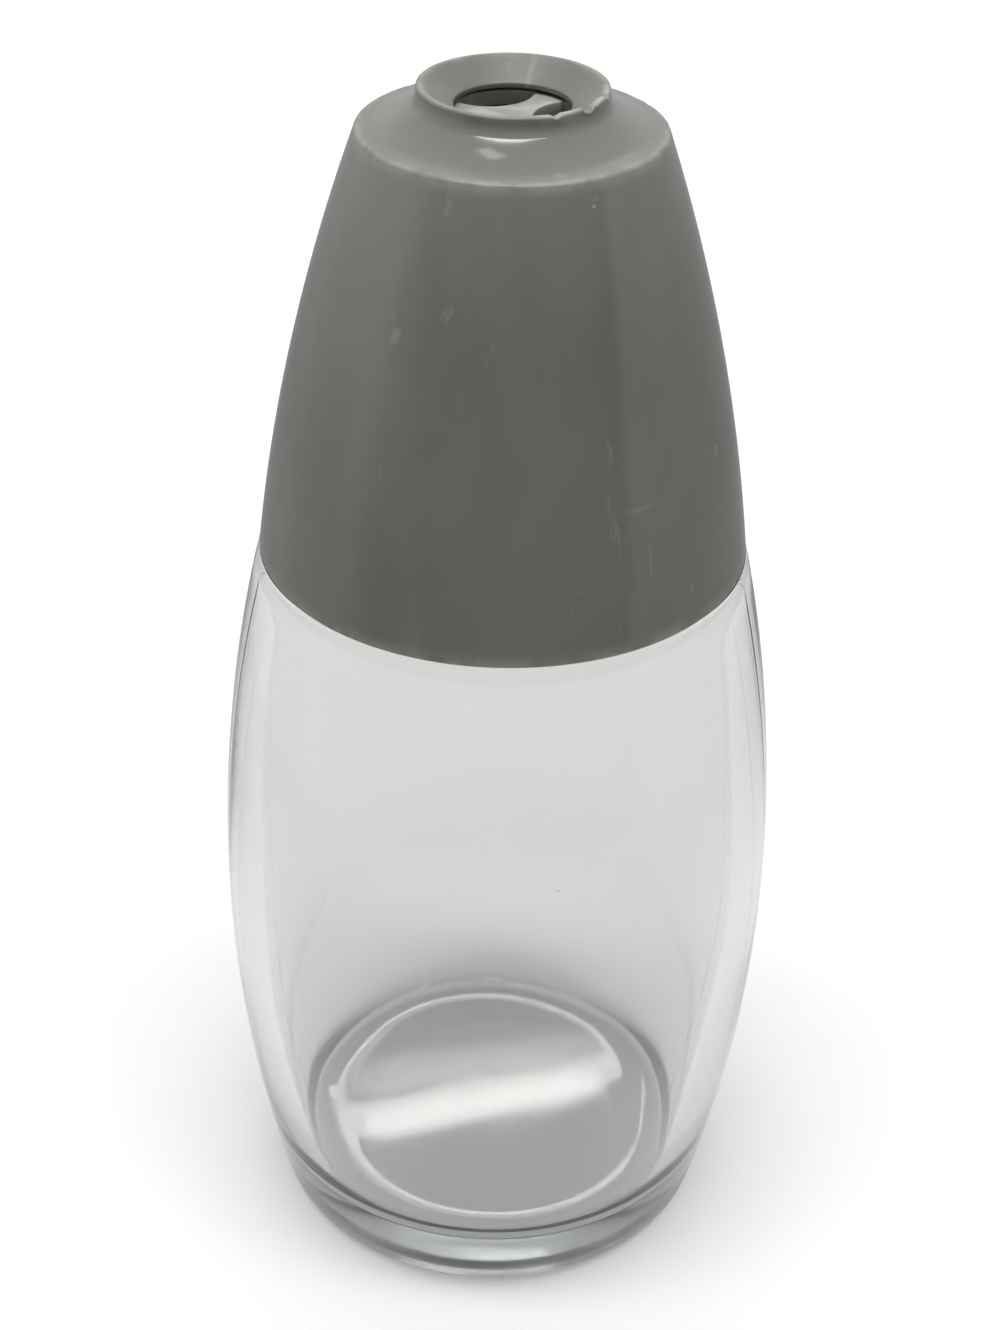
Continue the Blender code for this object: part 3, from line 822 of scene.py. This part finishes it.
def drum(name, radius, low, high, segments):
    """Upright cylinder as an object, for cutting."""
    shape = bmesh.new()
    bmesh.ops.create_cone(shape, cap_ends=True, segments=segments, radius1=radius,
                          radius2=radius, depth=high - low)
    bmesh.ops.translate(shape, verts=shape.verts, vec=(0.0, 0.0, (low + high) / 2))
    mesh = bpy.data.meshes.new(name)
    shape.to_mesh(mesh)
    shape.free()
    drum_object = bpy.data.objects.new(name, mesh)
    bpy.context.scene.collection.objects.link(drum_object)
    return drum_object


def cut(piece, tool, operation):
    """Cut a tool out of a piece, or keep what they share."""
    boolean = piece.modifiers.new(tool.name, "BOOLEAN")
    boolean.operation = operation
    boolean.solver = "EXACT"
    boolean.object = tool


class DISPENSER_OT_metering_disc(bpy.types.Operator):
    """Make the disc with its lens-shaped openings"""

    bl_idname = "dispenser.metering_disc"
    bl_label = "Metering disc"

    def execute(self, context):
        disc = context.scene.dispenser_disc
        low, high = DISC_LOW.z, DISC_HIGH.z
        blank = drum("disc_blank", disc.radius, low, high, DISC_SEGMENTS)
        limit = drum("opening_limit", disc.reach, low - 2 * MM, high + 2 * MM, DISC_SEGMENTS)
        tools = [blank, limit]
        for place in range(disc.count):
            angle = disc.turn + FULL_TURN * place / disc.count
            cutter = drum("opening_%d" % place, disc.opening, low - MM, high + MM, OPENING_SEGMENTS)
            reach = disc.hub + disc.opening
            cutter.matrix_world = Matrix.Translation((reach * math.cos(angle),
                                                      reach * math.sin(angle), 0.0))
            cut(cutter, limit, "INTERSECT")
            cut(blank, cutter, "DIFFERENCE")
            tools.append(cutter)
        bpy.context.view_layer.update()
        made = blank.evaluated_get(bpy.context.evaluated_depsgraph_get())
        shape = bmesh.new()
        shape.from_mesh(made.to_mesh())
        made.to_mesh_clear()
        for tool in tools:
            bpy.data.objects.remove(tool, do_unlink=True)
        bmesh.ops.remove_doubles(shape, verts=shape.verts, dist=WELD)
        sharp = [edge for edge in shape.edges
                 if edge.is_manifold and edge.calc_face_angle() > math.radians(40.0)]
        bmesh.ops.bevel(shape, geom=sharp, offset=disc.edge, offset_type="OFFSET",
                        affect="EDGES", segments=3, profile=0.5, material=-1)
        add_piece("disc_plastic", shape, disc_finish(disc), "disc", "metering_disc")
        return {"FINISHED"}


# Stage


def seen_directly(tree):
    """1 where the eye, a reflection or glass looks at a surface, 0 where light only falls on it."""
    path = put(tree, "ShaderNodeLightPath").outputs
    seen = calc(tree, "MAXIMUM", path["Is Camera Ray"], path["Is Glossy Ray"])
    return calc(tree, "MAXIMUM", seen, path["Is Transmission Ray"])


def floor_finish(stage):
    """Pale matt floor, white to the eye however far away, that keeps the shadow.

    In reflections it grows dimmer towards the screen, so that the screen's foot draws no line.
    """
    material, tree, shader = new_finish("pale_floor")
    tree.nodes.remove(shader)
    paint = put(tree, "ShaderNodeBsdfDiffuse", {"Color": (*stage.floor, 1.0)})
    place = put(tree, "ShaderNodeTexCoord").outputs["Object"]
    away = put(tree, "ShaderNodeVectorMath", {0: place}, operation="LENGTH").outputs["Value"]
    # Lamps hang about a metre up, so their light on the floor falls off with the distance
    lit = calc(tree, "POWER", calc(tree, "ADD", calc(tree, "MULTIPLY", away, away), 1.0), -2.0)
    level = spread(tree, lit, stage.glow_far, stage.glow)
    glow = put(tree, "ShaderNodeEmission",
               {"Strength": calc(tree, "MULTIPLY", seen_directly(tree), level)})
    both = put(tree, "ShaderNodeAddShader", {0: paint.outputs[0], 1: glow.outputs[0]})
    path = put(tree, "ShaderNodeLightPath").outputs
    mirrored = calc(tree, "GREATER_THAN", path["Is Glossy Ray"], path["Is Transmission Ray"])
    dim = put(tree, "ShaderNodeEmission", {"Strength": stage.screen_foot})
    share = calc(tree, "MULTIPLY", mirrored, band(tree, away, SHADE_START, stage.screen_radius))
    whole = put(tree, "ShaderNodeMixShader", {0: share, 1: both.outputs[0], 2: dim.outputs[0]})
    tree.links.new(whole.outputs[0], tree.nodes["Material Output"].inputs["Surface"])
    return material


def screen_finish(stage):
    """Light of the screen: dim in front, brighter to the left, and brighter towards its top."""
    material, tree, shader = new_finish("screen")
    tree.nodes.remove(shader)
    place = put(tree, "ShaderNodeTexCoord").outputs["Object"]
    axes = put(tree, "ShaderNodeSeparateXYZ", {"Vector": place}).outputs
    ahead = calc(tree, "MULTIPLY", axes["Y"], -1.0)
    turn = calc(tree, "ARCTAN2", axes["X"], ahead)
    uneven = spread(tree, grain(tree, 9.0, 2.0), -UNEVEN, UNEVEN)
    aside = calc(tree, "ADD", calc(tree, "ABSOLUTE", turn), uneven)
    on_right = calc(tree, "GREATER_THAN", turn, 0.0)
    sides = spread(tree, on_right, stage.screen_left, stage.screen_right)
    front = spread(tree, band(tree, turn, *FRONT_FALL), FRONT_SHARE * stage.screen_front, 0.0)
    edge = put(tree, "ShaderNodeMix", {0: on_right, 2: band(tree, aside, *LEFT_EDGE),
                                       3: band(tree, aside, *RIGHT_EDGE)}).outputs[0]
    level = put(tree, "ShaderNodeMix", {0: edge, 2: front, 3: sides}).outputs[0]
    level = put(tree, "ShaderNodeMix", {0: band(tree, aside, *BACK_EDGE), 2: level,
                                        3: stage.screen_back}).outputs[0]
    rise = spread(tree, band(tree, axes["Z"], *SCREEN_RISE), *SCREEN_LEVELS)
    light = put(tree, "ShaderNodeEmission", {"Strength": calc(tree, "MULTIPLY", level, rise)})
    clear = put(tree, "ShaderNodeBsdfTransparent")
    fading = band(tree, axes["Z"], SCREEN_FADE, stage.screen_height)
    both = put(tree, "ShaderNodeMixShader", {0: fading, 1: light.outputs[0], 2: clear.outputs[0]})
    tree.links.new(both.outputs[0], tree.nodes["Material Output"].inputs["Surface"])
    return material


def stage_piece(name, shape, material):
    """Make a finished shape part of the stage."""
    mesh = bpy.data.meshes.new(name)
    shape.to_mesh(mesh)
    shape.free()
    mesh.materials.append(material)
    piece = bpy.data.objects.new(name, mesh)
    bpy.context.scene.collection.objects.link(piece)
    return piece


def soft_box(name, place, target, size, power, roll=0.0):
    """Soft light that faces a point, turned by roll about its own line of sight."""
    light = bpy.data.lights.new(name, "AREA")
    light.shape = "RECTANGLE"
    light.size, light.size_y = size
    light.energy = power
    lamp = bpy.data.objects.new(name, light)
    bpy.context.scene.collection.objects.link(lamp)
    lamp.location = place
    aim = Vector(target) - Vector(place)
    look = aim.to_track_quat("-Z", "Y").to_matrix() @ Matrix.Rotation(roll, 3, "Z")
    lamp.rotation_euler = look.to_euler()
    return lamp


class DISPENSER_OT_stage(bpy.types.Operator):
    """Make the floor, the soft studio light and the camera"""

    bl_idname = "dispenser.stage"
    bl_label = "Stage"

    def execute(self, context):
        scene = context.scene
        stage = scene.dispenser_stage
        shape = bmesh.new()
        bmesh.ops.create_grid(shape, x_segments=8, y_segments=8, size=stage.floor_size / 2)
        bmesh.ops.translate(shape, verts=shape.verts, vec=(0.0, 0.0, -stage.floor_gap))
        stage_piece("floor", shape, floor_finish(stage))

        shape = bmesh.new()
        bmesh.ops.create_cone(shape, cap_ends=False, segments=SCREEN_SEGMENTS,
                              radius1=stage.screen_radius, radius2=stage.screen_radius,
                              depth=stage.screen_height)
        bmesh.ops.translate(shape, verts=shape.verts, vec=(0.0, 0.0, stage.screen_height / 2))
        screen = stage_piece("screen", shape, screen_finish(stage))
        for ray in ("camera", "diffuse", "transmission", "volume_scatter", "shadow"):
            setattr(screen, "visible_" + ray, False)

        world = bpy.data.worlds.new("studio")
        world.use_nodes = True
        scene.world = world
        tree = world.node_tree
        level = spread(tree, seen_directly(tree), stage.ambient, 1.0)
        tree.links.new(level, tree.nodes["Background"].inputs["Strength"])
        tree.nodes["Background"].inputs["Color"].default_value = (1.0, 1.0, 1.0, 1.0)

        panel = soft_box("overhead_panel", (0.0, 0.0, 1.05), LOOK_AT, (1.0, 1.0), stage.overhead)
        panel.visible_glossy = False
        soft_box("ceiling_lamp", (-0.01, -0.13, 1.0), LOOK_AT, (0.74, 0.16), stage.lamp)
        soft_box("second_lamp", (-0.13, 0.17, 1.0), LOOK_AT, (0.17, 0.12), stage.second)
        soft_box("back_strip", (0.03, 0.714, 0.700), FLOOR_MIDDLE, (0.48, 0.024),
                 stage.back, math.radians(9.0))
        soft_box("back_panel", (0.02, 0.732, 0.682), FLOOR_MIDDLE, (0.54, 0.026),
                 PANEL_SHARE * stage.back, math.radians(7.0))

        data = bpy.data.cameras.new("photo_view")
        data.sensor_width = 36.0
        data.lens = stage.lens
        camera = bpy.data.objects.new("photo_view", data)
        scene.collection.objects.link(camera)
        sight = Vector((0.0, 0.0, stage.aim)) - Vector(stage.camera)
        look = sight.to_track_quat("-Z", "Y").to_matrix().to_4x4()
        camera.matrix_world = (Matrix.Translation(stage.camera) @ look
                               @ Matrix.Rotation(stage.roll, 4, "Z"))
        scene.camera = camera
        scene.view_settings.view_transform = "Standard"
        return {"FINISHED"}


class DISPENSER_PT_panel(bpy.types.Panel):
    """The dispenser's pieces and sizes"""

    bl_label = "Toothpick dispenser"
    bl_space_type = "VIEW_3D"
    bl_region_type = "UI"
    bl_category = "Dispenser"

    def draw(self, context):
        for group, operator in GROUPS:
            box = self.layout.box()
            if operator:
                box.operator(operator)
            settings = getattr(context.scene, group)
            for name in settings.__annotations__:
                box.prop(settings, name)


GROUPS = (
    ("dispenser_thread", None),
    ("dispenser_jar", "dispenser.glass_jar"),
    ("dispenser_cap", "dispenser.screw_cap"),
    ("dispenser_disc", "dispenser.metering_disc"),
    ("dispenser_stage", "dispenser.stage"),
)
SETTINGS = {
    "dispenser_thread": ThreadSettings,
    "dispenser_jar": JarSettings,
    "dispenser_cap": CapSettings,
    "dispenser_disc": DiscSettings,
    "dispenser_stage": StageSettings,
}
CLASSES = (
    *SETTINGS.values(),
    DISPENSER_OT_glass_jar,
    DISPENSER_OT_screw_cap,
    DISPENSER_OT_metering_disc,
    DISPENSER_OT_stage,
    DISPENSER_PT_panel,
)


def register():
    for kind in CLASSES:
        bpy.utils.register_class(kind)
    for name, kind in SETTINGS.items():
        setattr(bpy.types.Scene, name, PointerProperty(type=kind))


def unregister():
    for name in SETTINGS:
        delattr(bpy.types.Scene, name)
    for kind in reversed(CLASSES):
        bpy.utils.unregister_class(kind)


def main():
    register()
    bpy.ops.dispenser.stage()
    bpy.ops.dispenser.glass_jar()
    bpy.ops.dispenser.screw_cap()
    bpy.ops.dispenser.metering_disc()


if __name__ == "__main__":
    main()
